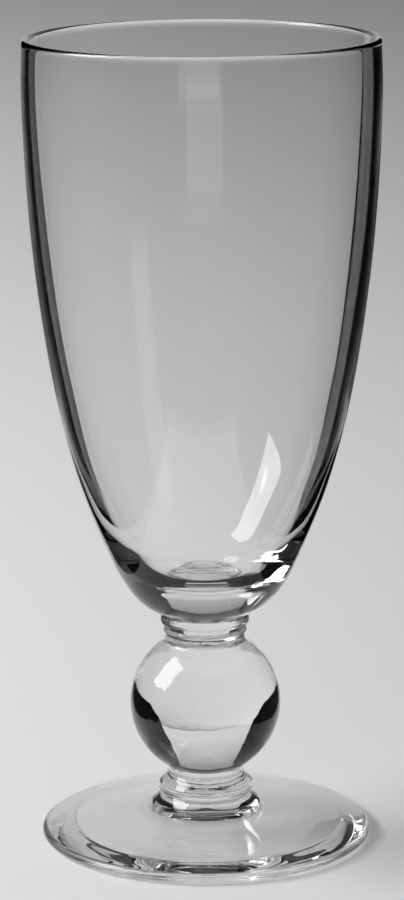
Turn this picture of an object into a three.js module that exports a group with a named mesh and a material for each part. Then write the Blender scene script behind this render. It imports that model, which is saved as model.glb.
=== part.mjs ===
// Iced tea glass on a ball stem.
// Seven glass pieces are stacked on one upright axis, each a turned solid that
// sits on the flat seat of the piece below it.
// All sizes are in millimetres, +Z is up and the foot stands on z = 0.

import * as THREE from 'three';

// Roundness: the sides of a full turn, the steps along round stretches, and turns in degrees
const sidesRound = 60;
const edgeSteps = 6;
const lipSteps = 6;
const ballSteps = 18;
const fineSteps = 4;
const middleSteps = 3;
const coarseSteps = 2;
const edgeSweep = 80;
const halfTurn = 180;

// Foot: a thin disc that rises to a steep flare and a seat in the middle
const footRadius = 36.65;
const footEdgeThickness = 2.5;
const footSeatHeight = 9.3;
const footSeatRadius = 10.1;
const footWebRadius = 23.5;
const footWebHeight = 5.2;

// Flare of the foot, each place as [distance out from the seat's edge, drop below the seat]
const flareNeck = [0.6, 0.7];
const flareWaist = [1.3, 1.4];
const flareHeel = [2.1, 1.85];
const flareRunOut = [3.5, 2.25];

// Underside of the foot: a hollow, the flat ring that it rests on, and a lifted border
const restingRingInnerRadius = 28.5;
const restingRingWidth = 1.0;
const borderRadius = 34.9;
const borderLift = 0.38;
const undersideHollowDepth = 3.4;
const hollowMiddleReach = 0.45;
const hollowMiddleDepth = 0.74;

// Foot button: the short waisted ring between the foot and the flared collar
const buttonHeight = 1.1;
const buttonWaistRadius = 9.8;
const buttonWaistHeight = 0.55;
const buttonTopRadius = 9.8;

// Flared collar: a small bell under the ball
const collarHeight = 5.4;
const collarBaseRadius = 10.4;
const collarRimRadius = 10.6;
const collarRimHeight = 0.5;
const collarBandRadius = 10.4;
const collarBandHeight = 1.5;
const collarShoulderRadius = 9.8;
const collarShoulderHeight = 2.1;
const collarDomeRadius = 9.0;
const collarDomeHeight = 3.0;
const collarThroatRadius = 8.45;
const collarThroatHeight = 4.0;
const collarTopRadius = 8.2;

// Ball knop
const ballRadius = 16.7;
const ballCentreAboveCollar = 14.55;
const neckSeatAboveCentre = 15.75;
const neckFlareRadius = 10.7;
const neckFlareWaistDrop = 1.6;
const neckFlareWaistWidening = 0.35;
const neckRadius = 8.75;

// Neck band and bead: the two rings between the ball and the bowl
const bandHeight = 1.7;
const bandRadius = 9.3;
const beadHeight = 2.9;
const beadRadius = 9.85;
const beadWidestHeight = 1.3;
const grooveRadius = 9.05;
const bowlSeatRadius = 9.6;

// Bowl: outer wall as [radius, height above the bowl's seat]
const bowlHeight = 127.3;
const bowlHeel = [14.5, 3.3];
const bowlUnderside = [18.3, 8.3];
const bowlHaunch = [22.55, 17.3];
const bowlLowerWall = [27.8, 31.3];
const bowlMiddleWall = [32.7, 51.3];
const bowlUpperWall = [36.95, 81.3];
const bowlWidest = [38.85, 114.3];
const lipOuterRadius = 38.6;
const lipThickness = 1.7;

// Bowl: glass thickness, measured level, at the same heights as the outer wall
const thicknessAtWidest = 1.75;
const thicknessAtUpperWall = 2.0;
const thicknessAtMiddleWall = 2.4;
const thicknessAtLowerWall = 2.8;
const thicknessAtHaunch = 4.0;

// Cavity floor: [radius, height above the bowl's seat]
const cavityCurve = [13.4, 10.8];
const cavityFloorRadius = 7.0;
const cavityFloorHeight = 9.0;

// Seat heights, each the top of the piece below
const buttonSeat = footSeatHeight;
const collarSeat = buttonSeat + buttonHeight;
const ballSeat = collarSeat + collarHeight;
const bandSeat = ballSeat + ballCentreAboveCollar + neckSeatAboveCentre;
const beadSeat = bandSeat + bandHeight;
const bowlSeat = beadSeat + beadHeight;

// A smooth curve through the given stations, with the same steps between each two
function smoothThrough(stations, stepsBetween) {
  const corners = stations.map(([radius, height]) => new THREE.Vector3(radius, height, 0));
  const curve = new THREE.CatmullRomCurve3(corners, false, 'centripetal');
  const points = curve.getPoints(stepsBetween * (stations.length - 1));
  return points.map((point) => [point.x, point.y]);
}

// A round stretch of outline about a centre, between two angles in degrees
function arc(centreRadius, centreHeight, bend, fromAngle, toAngle, arcSteps) {
  const outline = [];
  for (let step = 0; step <= arcSteps; step += 1) {
    const angle = THREE.MathUtils.degToRad(fromAngle + (toAngle - fromAngle) * (step / arcSteps));
    outline.push([centreRadius + bend * Math.cos(angle), centreHeight + bend * Math.sin(angle)]);
  }
  return outline;
}

// Turns an outline that starts and ends on the axis into a solid standing on +Z
function turned(outline) {
  const profile = outline.map(([radius, height]) => new THREE.Vector2(radius, height));
  const solid = new THREE.LatheGeometry(profile, sidesRound);
  solid.rotateX(Math.PI / 2);
  return solid;
}

function clearGlass(tint) {
  return new THREE.MeshStandardMaterial({ color: tint, roughness: 0.03, metalness: 0 });
}

function addPiece(group, name, outline, seatHeight, tint) {
  const piece = new THREE.Mesh(turned(outline), clearGlass(tint));
  piece.name = name;
  piece.position.z = seatHeight;
  group.add(piece);
}

// A place on the foot's flare, from its distance out and its drop
function onFlare([out, drop]) {
  return [footSeatRadius + out, footSeatHeight - drop];
}

function footUnderside() {
  const hollow = smoothThrough([
    [0, undersideHollowDepth],
    [restingRingInnerRadius * hollowMiddleReach, undersideHollowDepth * hollowMiddleDepth],
    [restingRingInnerRadius, 0],
  ], fineSteps);
  return [...hollow, [restingRingInnerRadius + restingRingWidth, 0], [borderRadius, borderLift]];
}

function footOutline() {
  const bend = footEdgeThickness / 2;
  const edge = arc(footRadius - bend, bend, bend, -edgeSweep, edgeSweep, edgeSteps);
  const top = smoothThrough([
    edge[edge.length - 1],
    [footWebRadius, footWebHeight],
    onFlare(flareRunOut),
    onFlare(flareHeel),
    onFlare(flareWaist),
    onFlare(flareNeck),
    [footSeatRadius, footSeatHeight],
  ], coarseSteps);
  return [...footUnderside(), ...edge, ...top.slice(1), [0, footSeatHeight]];
}

function buttonOutline() {
  const side = smoothThrough([
    [footSeatRadius, 0],
    [buttonWaistRadius, buttonWaistHeight],
    [buttonTopRadius, buttonHeight],
  ], coarseSteps);
  return [[0, 0], ...side, [0, buttonHeight]];
}

function collarOutline() {
  const side = smoothThrough([
    [collarBaseRadius, 0],
    [collarRimRadius, collarRimHeight],
    [collarBandRadius, collarBandHeight],
    [collarShoulderRadius, collarShoulderHeight],
    [collarDomeRadius, collarDomeHeight],
    [collarThroatRadius, collarThroatHeight],
    [collarTopRadius, collarHeight],
  ], coarseSteps);
  return [[0, 0], ...side, [0, collarHeight]];
}

function ballOutline() {
  const centre = ballCentreAboveCollar;
  const flareAngle = THREE.MathUtils.radToDeg(Math.acos(neckFlareRadius / ballRadius));
  const ball = arc(0, centre, ballRadius, lowerCutAngle(), flareAngle, ballSteps);
  const flareStart = ball[ball.length - 1];
  const top = centre + neckSeatAboveCentre;
  const flare = smoothThrough([
    flareStart,
    [neckRadius + neckFlareWaistWidening, top - neckFlareWaistDrop],
    [neckRadius, top],
  ], coarseSteps);
  return [[0, 0], [collarTopRadius, 0], ...ball.slice(1), ...flare.slice(1), [0, top]];
}

// Where the ball's round side meets the flared collar
function lowerCutAngle() {
  return -THREE.MathUtils.radToDeg(Math.acos(collarTopRadius / ballRadius));
}

function bandOutline() {
  const side = smoothThrough([
    [neckRadius, 0],
    [bandRadius, bandHeight / 2],
    [grooveRadius, bandHeight],
  ], middleSteps);
  return [[0, 0], ...side, [0, bandHeight]];
}

function beadOutline() {
  const side = smoothThrough([
    [grooveRadius, 0],
    [beadRadius, beadWidestHeight],
    [bowlSeatRadius, beadHeight],
  ], fineSteps);
  return [[0, 0], ...side, [0, beadHeight]];
}

function bowlOuterWall() {
  return smoothThrough([
    [bowlSeatRadius, 0],
    bowlHeel,
    bowlUnderside,
    bowlHaunch,
    bowlLowerWall,
    bowlMiddleWall,
    bowlUpperWall,
    bowlWidest,
    [lipOuterRadius, bowlHeight - lipThickness / 2],
  ], middleSteps);
}

function bowlCavityWall() {
  return smoothThrough([
    [lipOuterRadius - lipThickness, bowlHeight - lipThickness / 2],
    inside(bowlWidest, thicknessAtWidest),
    inside(bowlUpperWall, thicknessAtUpperWall),
    inside(bowlMiddleWall, thicknessAtMiddleWall),
    inside(bowlLowerWall, thicknessAtLowerWall),
    inside(bowlHaunch, thicknessAtHaunch),
    cavityCurve,
    [cavityFloorRadius, cavityFloorHeight],
    [0, cavityFloorHeight],
  ], middleSteps);
}

function inside([radius, height], thickness) {
  return [radius - thickness, height];
}

function bowlOutline() {
  const lipBend = lipThickness / 2;
  const lip = arc(lipOuterRadius - lipBend, bowlHeight - lipBend, lipBend, 0, halfTurn, lipSteps);
  return [[0, 0], ...bowlOuterWall(), ...lip.slice(1, -1), ...bowlCavityWall()];
}

const glass = new THREE.Group();
glass.name = 'iced_tea_glass';
addPiece(glass, 'foot', footOutline(), 0, 0xeef1f1);
addPiece(glass, 'foot_button', buttonOutline(), buttonSeat, 0xedf0f0);
addPiece(glass, 'flared_collar', collarOutline(), collarSeat, 0xeef1f1);
addPiece(glass, 'ball_knop', ballOutline(), ballSeat, 0xeff2f2);
addPiece(glass, 'neck_band', bandOutline(), bandSeat, 0xedf0f0);
addPiece(glass, 'neck_bead', beadOutline(), beadSeat, 0xeef1f1);
addPiece(glass, 'bowl', bowlOutline(), bowlSeat, 0xf0f3f3);

export default glass;
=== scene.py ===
"""Iced tea glass on a ball stem, dressed and lit for the photograph's view.

The glass's own lengths are millimetres, and MM turns them into metres. The camera and the studio
are in metres.
"""

import math

import bmesh
import bpy
from mathutils import Matrix, Vector, noise


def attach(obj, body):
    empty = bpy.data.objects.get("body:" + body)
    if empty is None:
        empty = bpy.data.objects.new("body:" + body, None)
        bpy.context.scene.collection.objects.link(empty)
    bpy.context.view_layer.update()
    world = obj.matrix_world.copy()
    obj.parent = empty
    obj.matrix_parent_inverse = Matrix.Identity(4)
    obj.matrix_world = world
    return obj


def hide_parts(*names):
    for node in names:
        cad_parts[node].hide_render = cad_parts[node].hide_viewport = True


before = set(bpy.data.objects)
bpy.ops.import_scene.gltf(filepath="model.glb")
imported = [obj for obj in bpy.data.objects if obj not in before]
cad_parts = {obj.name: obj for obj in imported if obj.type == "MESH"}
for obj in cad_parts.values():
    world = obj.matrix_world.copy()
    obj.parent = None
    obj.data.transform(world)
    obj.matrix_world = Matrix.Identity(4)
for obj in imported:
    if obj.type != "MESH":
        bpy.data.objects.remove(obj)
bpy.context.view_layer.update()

MM = 0.001

# Camera, fitted to the rim and the foot in the photograph
FRAME_HEIGHT_PX = 900
FOCAL_PX = 3509.7
CAMERA_BACK = 0.7502
CAMERA_HEIGHT = 0.2585
CAMERA_PITCH = math.radians(12.839)
CAMERA_YAW = math.radians(-0.032)
CAMERA_ROLL = math.radians(-0.347)
FILM_MM = 36.0
NEAREST_SEEN = 0.02
FARTHEST_SEEN = 40.0

# Finishes along an outline
SURFACE = 0
JOINT = 1

# Roundness: the sides of a full turn, the steps along each stretch, and turns in degrees
ROUND_STEPS = 240
HOLLOW_STEPS = 16
RING_STEPS = 3
LIFT_STEPS = 12
EDGE_STEPS = 20
WEB_STEPS = 14
RING_SIDE_STEPS = 6
DOME_STEPS = 8
BALL_STEPS = 84
BAND_STEPS = 7
BEAD_STEPS = 9
WALL_STEPS = 14
LIP_STEPS = 18
EDGE_SWEEP = 80
HALF_TURN = 180

# Edges that bend more than this are creases, and points nearer than this are on the axis
CREASE_ANGLE = math.radians(32)
AXIS_REACH = 1e-6


# Outlines of the pieces


def smooth_through(stations, steps):
    """Points of a centripetal curve through the stations, as (radius, height)."""
    points = [Vector(station) for station in stations]
    before = points[0] * 2 - points[1]
    after = points[-1] * 2 - points[-2]
    chain = [before, *points, after]
    outline = []
    for index in range(1, len(chain) - 2):
        outline += curve_piece(*chain[index - 1 : index + 3], steps)
    outline.append(tuple(points[-1]))
    return outline


def curve_piece(before, start, end, after, steps):
    """One stretch of the curve, from start up to end."""
    gap_before = math.sqrt((start - before).length)
    gap = math.sqrt((end - start).length)
    gap_after = math.sqrt((after - end).length)
    leave = (start - before) / gap_before - (end - before) / (gap_before + gap)
    leave = (leave + (end - start) / gap) * gap
    arrive = (end - start) / gap - (after - start) / (gap + gap_after)
    arrive = (arrive + (after - end) / gap_after) * gap
    bend = end * 3 - start * 3 - leave * 2 - arrive
    turn = start * 2 - end * 2 + leave + arrive
    steps_along = [step / steps for step in range(steps)]
    return [tuple(start + leave * t + bend * t**2 + turn * t**3) for t in steps_along]


def arc(centre, bend, from_angle, to_angle, steps):
    """A round stretch of outline about a centre, between two angles in degrees."""
    outline = []
    for step in range(steps + 1):
        angle = math.radians(from_angle + (to_angle - from_angle) * step / steps)
        outline.append((centre[0] + bend * math.cos(angle), centre[1] + bend * math.sin(angle)))
    return outline


def spaced(start, end, steps):
    """Evenly spaced points from start up to, and without, end."""
    (r0, z0), (r1, z1) = start, end
    return [(r0 + (r1 - r0) * k / steps, z0 + (z1 - z0) * k / steps) for k in range(steps)]


# Foot
FOOT_RADIUS = 36.65
FOOT_EDGE = 2.5
FOOT_SEAT = (10.1, 9.3)
FOOT_FLARE = [(23.5, 5.2), (13.6, 7.05), (12.2, 7.45), (11.4, 7.9), (10.7, 8.6)]
RING_IN = 28.5
RING_OUT = 29.5
RING_LIFT = (34.9, 0.12)
HOLLOW = 3.4
HOLLOW_MIDDLE = (0.45, 0.74)

# Button and flared collar
BUTTON_HEIGHT = 1.1
BUTTON_SIDE = [(10.1, 0), (9.8, 0.55), (9.8, 1.1)]
COLLAR_HEIGHT = 5.4
COLLAR_BASE = 10.4
COLLAR_RIM = (10.6, 0.5)
COLLAR_BAND = (10.4, 1.5)
COLLAR_DOME = [(9.8, 2.1), (9.0, 3.0), (8.45, 4.0)]
COLLAR_TOP = 8.2

# Ball knop and the neck's rings
BALL_RADIUS = 16.7
BALL_CENTRE = 14.55
NECK_ABOVE_CENTRE = 15.75
FLARE_RADIUS = 10.7
FLARE_WAIST = 1.6
FLARE_WAIST_WIDENING = 0.35
NECK_RADIUS = 8.75
BAND_HEIGHT = 1.7
BAND_RADIUS = 9.3
BEAD_HEIGHT = 2.9
BEAD_RADIUS = 9.85
BEAD_WIDEST = 1.305
GROOVE_RADIUS = 9.05
BOWL_SEAT = 9.6

# Bowl
BOWL_HEIGHT = 127.3
OUTER_WALL = [(14.5, 3.3), (18.3, 8.3), (22.55, 17.3), (27.8, 31.3), (32.7, 51.3), (36.95, 81.3)]
WIDEST = (38.85, 114.3)
LIP_RADIUS = 38.6
LIP_THICKNESS = 1.7
WALL = [1.75, 2.0, 2.4, 2.8, 4.0]
CAVITY_FLOOR = [(13.4, 10.8), (7.0, 9.0), (0, 9.0)]

# Sizes of the marks of hand work, and how far their waves are pulled round or drawn upward
TURNING_SLACK = 0.012
BOWL_WAVE = 0.05
BOWL_WAVE_PULL = 30.0
BOWL_WAVE_DRAWN = 0.25
BOWL_WAVE_LENGTH = 9.0
BOWL_WAVE_START = 12.0
BOWL_SEEDS = (3.1, 8.6)
LIP_ALONG = 0.5
FOOT_SWELL = 0.17
FOOT_SWELL_PULL = 7.0
FOOT_SWELL_LENGTH = 4.5
FOOT_SWELL_FADE = 2.0
FOOT_SEEDS = (1.9, 7.7)
HOLLOW_DRIFT = 1.2
HOLLOW_DRIFT_TOWARDS = math.radians(60)

# Seat heights, each the top of the piece below
BUTTON_SEAT_Z = FOOT_SEAT[1]
COLLAR_SEAT_Z = BUTTON_SEAT_Z + BUTTON_HEIGHT
BALL_SEAT_Z = COLLAR_SEAT_Z + COLLAR_HEIGHT
BAND_SEAT_Z = BALL_SEAT_Z + BALL_CENTRE + NECK_ABOVE_CENTRE
BEAD_SEAT_Z = BAND_SEAT_Z + BAND_HEIGHT
BOWL_SEAT_Z = BEAD_SEAT_Z + BEAD_HEIGHT


def foot_outline():
    bend = FOOT_EDGE / 2
    middle = (RING_IN * HOLLOW_MIDDLE[0], HOLLOW * HOLLOW_MIDDLE[1])
    hollow = smooth_through([(0, HOLLOW), middle, (RING_IN, 0)], HOLLOW_STEPS)
    ring = spaced((RING_IN, 0), (RING_OUT, 0), RING_STEPS)[1:]
    lift = [*spaced((RING_OUT, 0), RING_LIFT, LIFT_STEPS), RING_LIFT]
    edge = arc((FOOT_RADIUS - bend, bend), bend, -EDGE_SWEEP, EDGE_SWEEP, EDGE_STEPS)
    top = smooth_through([edge[-1], *FOOT_FLARE, FOOT_SEAT], WEB_STEPS)
    return [*hollow, *ring, *lift, *edge, *top[1:]]


def button_outline():
    return smooth_through(BUTTON_SIDE, RING_SIDE_STEPS)


def collar_outline():
    rim = smooth_through([(COLLAR_BASE, 0), COLLAR_RIM, COLLAR_BAND], RING_SIDE_STEPS)
    dome = smooth_through([COLLAR_BAND, *COLLAR_DOME, (COLLAR_TOP, COLLAR_HEIGHT)], DOME_STEPS)
    return [*rim, *dome[1:]]


def ball_outline():
    low = -math.degrees(math.acos(COLLAR_TOP / BALL_RADIUS))
    high = math.degrees(math.acos(FLARE_RADIUS / BALL_RADIUS))
    ball = arc((0, BALL_CENTRE), BALL_RADIUS, low, high, BALL_STEPS)
    top = BALL_CENTRE + NECK_ABOVE_CENTRE
    waist = (NECK_RADIUS + FLARE_WAIST_WIDENING, top - FLARE_WAIST)
    flare = smooth_through([ball[-1], waist, (NECK_RADIUS, top)], DOME_STEPS)
    return [*ball, *flare[1:]]


def band_outline():
    side = [(NECK_RADIUS, 0), (BAND_RADIUS, BAND_HEIGHT / 2), (GROOVE_RADIUS, BAND_HEIGHT)]
    return smooth_through(side, BAND_STEPS)


def bead_outline():
    side = [(GROOVE_RADIUS, 0), (BEAD_RADIUS, BEAD_WIDEST), (BOWL_SEAT, BEAD_HEIGHT)]
    return smooth_through(side, BEAD_STEPS)


def bowl_outline():
    bend = LIP_THICKNESS / 2
    lip_height = BOWL_HEIGHT - bend
    outer = smooth_through([(BOWL_SEAT, 0), *OUTER_WALL, WIDEST, (LIP_RADIUS, lip_height)], WALL_STEPS)
    lip = arc((LIP_RADIUS - bend, lip_height), bend, 0, HALF_TURN, LIP_STEPS)
    inner = [(LIP_RADIUS - LIP_THICKNESS, lip_height)]
    for (radius, height), wall in zip([WIDEST, *OUTER_WALL[:1:-1]], WALL):
        inner.append((radius - wall, height))
    cavity = smooth_through([*inner, *CAVITY_FLOOR], WALL_STEPS)
    return [*outer, *lip[1:-1], *cavity]


# Turned meshes


def on_axis(point):
    return point[0] < AXIS_REACH


def ring_of(mesh, point, seat, settle, along):
    """One ring of corners at a point of the outline, or one corner where it meets the axis.

    The settle function moves each corner a little; along is 0 at the outline's start, 1 at its end.
    """
    radius, height = point
    if on_axis(point):
        return [mesh.verts.new(Vector((0, 0, (height + seat) * MM)))]
    ring = []
    for step in range(ROUND_STEPS):
        angle = 2 * math.pi * step / ROUND_STEPS
        r, z = settle(radius, height + seat, angle, along)
        ring.append(mesh.verts.new(Vector((r * math.cos(angle), r * math.sin(angle), z)) * MM))
    return ring


def skin(mesh, lower, upper, finish):
    """Faces between two neighbouring rings, going round the outline."""
    for step in range(ROUND_STEPS):
        after = (step + 1) % ROUND_STEPS
        corners = [lower[step % len(lower)], lower[after % len(lower)]]
        corners += [upper[after % len(upper)], upper[step % len(upper)]]
        unique = list(dict.fromkeys(corners))
        face = mesh.faces.new(unique)
        face.material_index = finish
        face.smooth = True


def turned_piece(name, outline, seat, finishes, settle):
    """A closed turned solid, whose first and last outline points get flat joint faces."""
    mesh = bmesh.new()
    points = list(outline)
    marks = [SURFACE] * (len(points) - 1)
    if not on_axis(points[0]):
        points.insert(0, (0, points[0][1]))
        marks.insert(0, JOINT)
    if not on_axis(points[-1]):
        points.append((0, points[-1][1]))
        marks.append(JOINT)
    last = len(points) - 1
    rings = [ring_of(mesh, point, seat, settle, k / last) for k, point in enumerate(points)]
    for lower, upper, mark in zip(rings, rings[1:], marks):
        skin(mesh, lower, upper, mark)
    bmesh.ops.recalc_face_normals(mesh, faces=mesh.faces)
    data = bpy.data.meshes.new(name)
    mesh.to_mesh(data)
    mesh.free()
    data.set_sharp_from_angle(angle=CREASE_ANGLE)
    piece = bpy.data.objects.new(name, data)
    bpy.context.scene.collection.objects.link(piece)
    for finish in finishes:
        data.materials.append(finish)
    return piece


# Marks of hand work: the solids are never larger than turned, only a little smaller


def swell(radius, height, angle, length, seed):
    """Soft unevenness of hot-worked glass, between 0 and 1, with the given length of wave."""
    place = Vector((radius * math.cos(angle), radius * math.sin(angle), height)) / length
    return 0.5 + 0.5 * noise.noise(place + Vector((seed, seed, seed)))


def bowl_hand(radius, height, angle, along):
    """Long waves down the bowl's wall, other ones inside than outside."""
    seed = BOWL_SEEDS[along > LIP_ALONG]
    fade = min(1.0, (height - BOWL_SEAT_Z) / BOWL_WAVE_START)
    wave = swell(BOWL_WAVE_PULL, height * BOWL_WAVE_DRAWN, angle, BOWL_WAVE_LENGTH, seed)
    return radius - TURNING_SLACK - BOWL_WAVE * fade * wave, height


def foot_hand(radius, height, angle, along):
    """Swells on both faces of the spun foot, deeper towards its edge, over a hollow a little off centre."""
    reach = max(0.0, (radius - FOOT_SEAT[0]) / (FOOT_RADIUS - FOOT_SEAT[0]))
    middle = FOOT_EDGE / 2 + HOLLOW * (1 - radius / FOOT_RADIUS)
    fade = min(1.0, abs(height - middle) / (FOOT_EDGE / 2))
    depth = FOOT_SWELL * fade * reach**FOOT_SWELL_FADE
    if height > middle:
        height -= depth * swell(FOOT_SWELL_PULL, radius, angle, FOOT_SWELL_LENGTH, FOOT_SEEDS[0])
    elif not RING_IN < radius < RING_OUT:
        height += depth * swell(FOOT_SWELL_PULL, radius, angle, FOOT_SWELL_LENGTH, FOOT_SEEDS[1])
    if height < middle:
        share = math.sqrt(math.sin(math.pi * radius / FOOT_RADIUS))
        radius += HOLLOW_DRIFT * math.cos(angle - HOLLOW_DRIFT_TOWARDS) * fade * share
    return radius - TURNING_SLACK, height


def stem_hand(radius, height, angle, along):
    """The stem's rings and ball are true."""
    return radius - TURNING_SLACK, height


# Shader maths


class Value:
    """A shader socket that adds Math nodes when it is used in an expression."""

    def __init__(self, shader, socket):
        self.shader = shader
        self.socket = socket

    def _math(self, operation, first, second=0.0):
        return self.shader.node("ShaderNodeMath", {"operation": operation}, {0: first, 1: second})

    def __add__(self, other):
        return self._math("ADD", self, other)

    __radd__ = __add__

    def __sub__(self, other):
        return self._math("SUBTRACT", self, other)

    def __rsub__(self, other):
        return self._math("SUBTRACT", other, self)

    def __mul__(self, other):
        return self._math("MULTIPLY", self, other)

    __rmul__ = __mul__

    def larger(self, other):
        return self._math("MAXIMUM", self, other)


class Shader:
    """The node tree of one material or world."""

    def __init__(self, owner):
        owner.use_nodes = True
        self.tree = owner.node_tree
        self.tree.nodes.clear()

    def node(self, kind, settings=None, inputs=None, output=0):
        """Adds a node of a kind, with its settings first and then the values or links of its sockets."""
        made = self.tree.nodes.new(kind)
        for name, value in (settings or {}).items():
            if name == "stops":
                set_stops(made.color_ramp, value)
            else:
                setattr(made, name, value)
        for name, value in (inputs or {}).items():
            if isinstance(value, Value):
                self.tree.links.new(value.socket, made.inputs[name])
            else:
                made.inputs[name].default_value = value
        return Value(self, made.outputs[output]) if made.outputs else None

    def noise(self, place, scale, detail):
        """Soft random shade at each place, with features that shrink as the scale grows."""
        inputs = {"Vector": place, "Scale": scale, "Detail": detail}
        return self.node("ShaderNodeTexNoise", {}, inputs, "Fac")

    def blend(self, share, first, second):
        """The first colour where the share is 0, and the second where it is 1."""
        inputs = {"Factor": share, "A": first, "B": second}
        return self.node("ShaderNodeMix", {"data_type": "RGBA"}, inputs, "Result")


def set_stops(ramp, stops):
    while len(ramp.elements) < len(stops):
        ramp.elements.new(0.5)
    for element, (position, shade) in zip(ramp.elements, stops):
        element.position = position
        element.color = shade


def grey(level):
    return (level, level, level, 1.0)


# Glass

GLASS_IOR = 1.52
SHADOW_LIGHT = 0.55
DEEPER_TINT = (0.97, 0.975, 0.975, 1.0)
CLEARER_TINT = grey(0.995)

# Relief of each finish, depths in millimetres: stretch and depth of drawn lines, scale and depth of pits
BLOWN = ((1.0, 1.0, 0.05), 0.004, 170.0, 0.0015)
TOOLED = ((0.4, 0.4, 2.5), 0.004, 600.0, 0.05)
SPUN = ((0.8, 0.8, 0.8), 0.01, 170.0, 0.003)
LINE_SCALE = 60.0
LINE_DETAIL = 2.0
PIT_DETAIL = 1.0
WIPE_SCALE = 420.0
WIPE_DETAIL = 4.0
WIPE_CLEAN = 0.58
WIPE_HAZE = 0.12


def clear_glass(name, line_stretch, line_depth, pit_scale, pit_depth):
    """Fire-polished glass: faint drawn lines, soft pits and a trace of wiping."""
    material = bpy.data.materials.new(name)
    shader = Shader(material)
    place = shader.node("ShaderNodeTexCoord", output="Object")
    stretched = shader.node("ShaderNodeMapping", {}, {"Vector": place, "Scale": line_stretch})
    lines = shader.noise(stretched, LINE_SCALE, LINE_DETAIL)
    pits = shader.noise(place, pit_scale, PIT_DETAIL)
    wiped = shader.noise(place, WIPE_SCALE, WIPE_DETAIL)
    relief = lines * line_depth + pits * pit_depth
    normal = shader.node("ShaderNodeBump", {}, {"Height": relief, "Distance": MM, "Strength": 1.0})
    smear = ((wiped - WIPE_CLEAN) * WIPE_HAZE).larger(0.0)
    tint = shader.blend(pits, DEEPER_TINT, CLEARER_TINT)
    glass = shader.node(
        "ShaderNodeBsdfPrincipled",
        {},
        {
            "Base Color": tint,
            "Roughness": smear,
            "IOR": GLASS_IOR,
            "Transmission Weight": 1.0,
            "Normal": normal,
        },
    )
    shadow = shader.node("ShaderNodeLightPath", output="Is Shadow Ray")
    clear = shader.node("ShaderNodeBsdfTransparent", {}, {"Color": grey(1.0)})
    lit = shader.node("ShaderNodeMixShader", {}, {0: shadow * SHADOW_LIGHT, 1: glass, 2: clear})
    shader.node("ShaderNodeOutputMaterial", {}, {"Surface": lit})
    return material


def fused_joint():
    """The level faces where two pieces melted into one, which light passes straight through."""
    material = bpy.data.materials.new("fused_joint")
    shader = Shader(material)
    through = shader.node("ShaderNodeBsdfTransparent", {}, {"Color": grey(1.0)})
    shader.node("ShaderNodeOutputMaterial", {}, {"Surface": through})
    return material


def make_glass():
    joint = fused_joint()
    blown = clear_glass("blown_bowl_glass", *BLOWN)
    tooled = clear_glass("tooled_stem_glass", *TOOLED)
    spun = clear_glass("spun_foot_glass", *SPUN)
    pieces = [
        ("foot", foot_outline(), 0, spun, foot_hand),
        ("foot_button", button_outline(), BUTTON_SEAT_Z, tooled, stem_hand),
        ("flared_collar", collar_outline(), COLLAR_SEAT_Z, tooled, stem_hand),
        ("ball_knop", ball_outline(), BALL_SEAT_Z, tooled, stem_hand),
        ("neck_band", band_outline(), BAND_SEAT_Z, tooled, stem_hand),
        ("neck_bead", bead_outline(), BEAD_SEAT_Z, tooled, stem_hand),
        ("bowl", bowl_outline(), BOWL_SEAT_Z, blown, bowl_hand),
    ]
    for node, outline, seat, finish, settle in pieces:
        piece = turned_piece("glass_" + node, outline, seat, [finish, joint], settle)
        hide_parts(node)
        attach(piece, "root")


# Studio: paper floor, with a film of air under the foot

FLOOR_REACH = 2.0
AIR_GAP = 0.00006
PAPER_SHADE = 0.8
PAPER_GRAIN = 0.01
PAPER_GRAIN_SCALE = 900.0
PAPER_GRAIN_DETAIL = 2.0
PAPER_ROUGHNESS = 0.9
CARD_SHADE = 0.004
TENT_SHADE = 0.12


def paper():
    material = bpy.data.materials.new("pale_paper")
    shader = Shader(material)
    place = shader.node("ShaderNodeTexCoord", output="Object")
    fibres = shader.noise(place, PAPER_GRAIN_SCALE, PAPER_GRAIN_DETAIL)
    shade = shader.blend(fibres, grey(PAPER_SHADE - PAPER_GRAIN), grey(PAPER_SHADE + PAPER_GRAIN))
    surface = shader.node(
        "ShaderNodeBsdfPrincipled",
        {},
        {"Base Color": shade, "Roughness": PAPER_ROUGHNESS, "Specular IOR Level": 0.0},
    )
    shader.node("ShaderNodeOutputMaterial", {}, {"Surface": surface})
    return material


def card_finish(name, shade):
    material = bpy.data.materials.new(name)
    shader = Shader(material)
    surface = shader.node("ShaderNodeBsdfDiffuse", {}, {"Color": grey(shade)})
    shader.node("ShaderNodeOutputMaterial", {}, {"Surface": surface})
    return material


def sheet(name, corners, faces, finish):
    data = bpy.data.meshes.new(name)
    data.from_pydata(corners, [], faces)
    data.materials.append(finish)
    made = bpy.data.objects.new(name, data)
    bpy.context.scene.collection.objects.link(made)
    return made


def make_floor():
    reach = FLOOR_REACH
    low = -AIR_GAP
    corners = [(-reach, -reach, low), (reach, -reach, low), (reach, reach, low), (-reach, reach, low)]
    sheet("floor", corners, [(0, 1, 2, 3)], paper())


# Cards and tent in metres: the strip of bare paper between the black wings, and the way in from the front
STRIP_SIDES = (-0.079, 0.068)
STRIP_FRONT = -0.16
STRIP_BREAK = -1.2
OPENING = (-0.42, 0.31)
OPENING_TOP = 0.16
SWEEP = [(0.11, 0.0), (0.155, 0.016), (0.185, 0.05), (0.195, 0.1), (0.193, 0.14), (0.175, 0.21)]
SWEEP_TOP = (0.12, 0.5)
WING_REACH = 1.375
CARD_LOW = 0.0006
TENT = ((-1.3, 1.3), (-1.6, 1.9), 1.7)
TENT_LOW = 0.002


def make_turntable(camera):
    """Lamps and cards stand on this and turn with the camera, as if only the glass were turned."""
    turntable = bpy.data.objects.new("turntable", None)
    bpy.context.scene.collection.objects.link(turntable)
    follow = turntable.constraints.new("COPY_ROTATION")
    follow.target = camera
    follow.use_x = False
    follow.use_y = False
    return turntable


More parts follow.
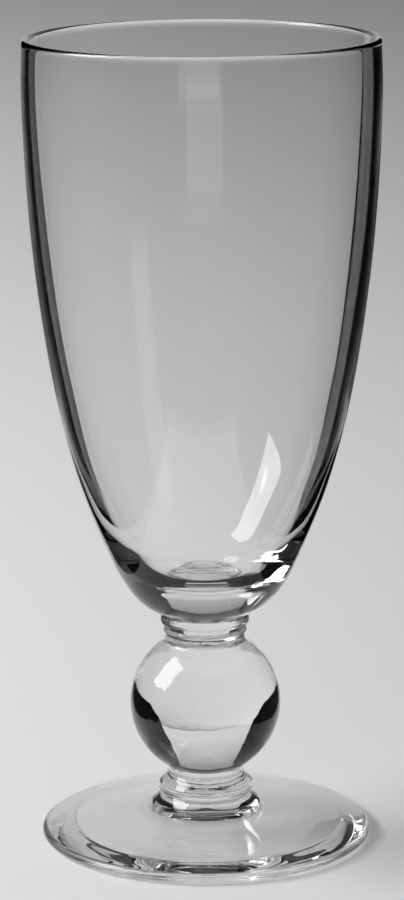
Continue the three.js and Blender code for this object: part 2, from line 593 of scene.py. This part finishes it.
def make_cards(turntable):
    """Black wings that leave a pale strip of paper behind the glass, and a dark tent round it.

    Only the glass's own reflections and refractions see them.
    """
    black = card_finish("black_card", CARD_SHADE)
    dark = card_finish("dark_cloth", TENT_SHADE)
    profile = [(STRIP_FRONT, 0.0), *SWEEP, SWEEP_TOP]
    front = [(STRIP_BREAK, 0.0), (STRIP_FRONT, 0.0)]
    door = [(TENT[1][0], 0.0), (STRIP_BREAK, 0.0)]
    cards = [
        wing("wing_left", -WING_REACH, STRIP_SIDES[0], profile, black),
        wing("wing_right", STRIP_SIDES[1], WING_REACH, profile, black),
        wing("front_card", -WING_REACH, WING_REACH, front, black),
        wing("door_card_left", -WING_REACH, OPENING[0], door, black),
        wing("door_card_right", OPENING[1], WING_REACH, door, black),
        tent(dark),
    ]
    for card in cards:
        card.visible_camera = False
        card.visible_diffuse = False
        card.visible_shadow = False
        card.parent = turntable


def wing(name, x0, x1, profile, finish):
    """A sheet that follows a profile of (y, z) points, between two places across."""
    corners = [(x, y, z + CARD_LOW) for y, z in profile for x in (x0, x1)]
    faces = [(k, k + 1, k + 3, k + 2) for k in range(0, len(corners) - 2, 2)]
    return sheet(name, corners, faces, finish)


def tent(finish):
    """Sides, top, and a front with a low opening; the back stays open behind the paper."""
    (x0, x1), (y0, y1), top = TENT
    corners = [(x, y, z) for z in (TENT_LOW, top) for y in (y0, y1) for x in (x0, x1)]
    corners += [(x, y0, z) for z in (TENT_LOW, OPENING_TOP, top) for x in OPENING]
    faces = [(0, 2, 6, 4), (1, 3, 7, 5), (4, 5, 7, 6)]
    faces += [(0, 8, 12, 4), (9, 1, 5, 13), (10, 11, 13, 12)]
    return sheet("tent", corners, faces, finish)


def make_lamp(name, place, aim, size, power):
    lamp = bpy.data.lights.new(name, "AREA")
    lamp.shape = "RECTANGLE"
    lamp.size, lamp.size_y = size
    lamp.energy = power
    holder = bpy.data.objects.new(name, lamp)
    bpy.context.scene.collection.objects.link(holder)
    holder.location = place
    holder.rotation_euler = (Vector(aim) - Vector(place)).to_track_quat("-Z", "Y").to_euler()
    holder.visible_camera = False
    return holder


# Lamps, places and sizes in metres
SOFTBOX_PLACE = (-0.75, -0.05, 0.62)
SOFTBOX_AIM = (0, 0, 0.1)
SOFTBOX_SIZE = (0.56, 0.66)
SOFTBOX_GLOW = 22.5
WASH_PLACE = (-1.71, 0.81, 1.1)
WASH_SIZE = 0.7
WASH_POWER = 40.0


def make_lights(turntable):
    width, height = SOFTBOX_SIZE
    power = SOFTBOX_GLOW * width * height
    key = make_lamp("softbox_left", SOFTBOX_PLACE, SOFTBOX_AIM, SOFTBOX_SIZE, power)
    below = (*WASH_PLACE[:2], 0)
    wash = make_lamp("paper_wash", WASH_PLACE, below, (WASH_SIZE, WASH_SIZE), WASH_POWER)
    key.parent = turntable
    wash.parent = turntable
    wash.visible_glossy = False
    wash.visible_transmission = False


# World: how bright the fill is, and the wall's shade at the sine of each height above the horizon
FILL_STRENGTH = 0.12
WALL_SHADES = [(0.0, 0.64), (0.1, 0.64), (0.34, 0.48), (0.62, 0.28), (1.0, 0.15)]


def make_world():
    """A pale wall all round that darkens with height, with plain fill light on the object."""
    world = bpy.data.worlds.new("studio")
    bpy.context.scene.world = world
    shader = Shader(world)
    seen = shader.node("ShaderNodeLightPath", output="Is Camera Ray")
    mirrored = shader.node("ShaderNodeLightPath", output="Is Glossy Ray")
    bent = shader.node("ShaderNodeLightPath", output="Is Transmission Ray")
    shows = seen.larger(mirrored).larger(bent)
    direction = shader.node("ShaderNodeTexCoord", output="Generated")
    height = shader.node("ShaderNodeSeparateXYZ", {}, {0: direction}, "Z")
    stops = [(place, grey(shade)) for place, shade in WALL_SHADES]
    wall = shader.node("ShaderNodeValToRGB", {"stops": stops}, {"Fac": height})
    fill = shader.node("ShaderNodeBackground", {}, {"Color": grey(1.0), "Strength": FILL_STRENGTH})
    pale = shader.node("ShaderNodeBackground", {}, {"Color": wall, "Strength": 1.0})
    mixed = shader.node("ShaderNodeMixShader", {}, {0: shows, 1: fill, 2: pale})
    shader.node("ShaderNodeOutputWorld", {}, {"Surface": mixed})


def make_camera():
    data = bpy.data.cameras.new("camera")
    data.sensor_width = FILM_MM
    data.lens = FOCAL_PX * FILM_MM / FRAME_HEIGHT_PX
    data.clip_start = NEAREST_SEEN
    data.clip_end = FARTHEST_SEEN
    camera = bpy.data.objects.new("camera", data)
    bpy.context.scene.collection.objects.link(camera)
    turn = Matrix.Rotation(-CAMERA_YAW, 4, "Z")
    turn = turn @ Matrix.Rotation(math.pi / 2 - CAMERA_PITCH, 4, "X")
    turn = turn @ Matrix.Rotation(CAMERA_ROLL, 4, "Z")
    camera.matrix_world = Matrix.Translation((0, -CAMERA_BACK, CAMERA_HEIGHT)) @ turn
    bpy.context.scene.camera = camera
    return camera


# Light paths: turns of light through the glass, off it, and through its fused joints
GLASS_BOUNCES = 32
MIRROR_BOUNCES = 12
JOINT_PASSES = 48


def set_light_paths():
    cycles = bpy.context.scene.cycles
    cycles.max_bounces = GLASS_BOUNCES
    cycles.transmission_bounces = GLASS_BOUNCES
    cycles.glossy_bounces = MIRROR_BOUNCES
    cycles.transparent_max_bounces = JOINT_PASSES
    cycles.caustics_reflective = True
    cycles.caustics_refractive = True
    cycles.use_denoising = True
    bpy.context.scene.view_settings.view_transform = "Standard"


make_glass()
make_floor()
turntable = make_turntable(make_camera())
make_cards(turntable)
make_lights(turntable)
make_world()
set_light_paths()
